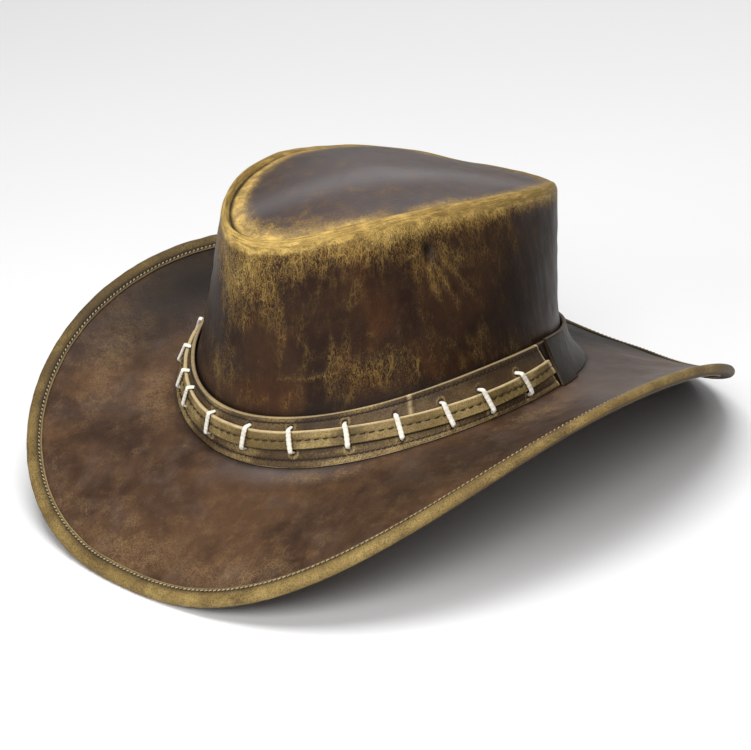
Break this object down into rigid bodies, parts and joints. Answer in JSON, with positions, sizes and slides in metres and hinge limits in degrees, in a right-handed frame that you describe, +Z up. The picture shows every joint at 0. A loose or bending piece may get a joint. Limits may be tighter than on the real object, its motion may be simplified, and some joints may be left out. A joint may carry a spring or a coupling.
{
  "type": "bush hat",
  "caption": "Leather bush hat with a tapered teardrop crown, a saddle-shaped bound brim and a band laced with pale cord.",
  "frame": {"origin": "centre of the hat's footprint, on the surface it rests on", "axes": "+Z up, -Y towards the front of the hat, +X towards the wearer's left"},
  "size_m": [0.3036, 0.3529, 0.1595],
  "materials": {
    "crown_leather": "waxed pull-up leather, dark brown with golden wear on the crest",
    "brim_leather": "waxed pull-up leather, mid brown with pale patches",
    "binding_leather": "grained tan leather, folded over the edge and stitched",
    "band_leather": "tan-brown leather with stitched edges",
    "strap_leather": "tan leather with a pale cut edge",
    "plain_leather": "smooth dark brown leather",
    "waxed_cord": "off-white waxed cord"
  },
  "bodies": {
    "root": {"crown": "crown_leather", "brim": "brim_leather", "brim_binding": "binding_leather", "band_front": "band_leather", "band_middle_strap": "strap_leather", "band_back": "plain_leather", "keeper_left": "plain_leather", "keeper_right": "plain_leather", "lace_01": "waxed_cord", "lace_02": "waxed_cord", "lace_03": "waxed_cord", "lace_04": "waxed_cord", "lace_05": "waxed_cord", "lace_06": "waxed_cord", "lace_07": "waxed_cord", "lace_08": "waxed_cord", "lace_09": "waxed_cord", "lace_10": "waxed_cord", "lace_11": "waxed_cord", "lace_12": "waxed_cord", "lace_13": "waxed_cord", "lace_14": "waxed_cord"}
  },
  "joints": []
}
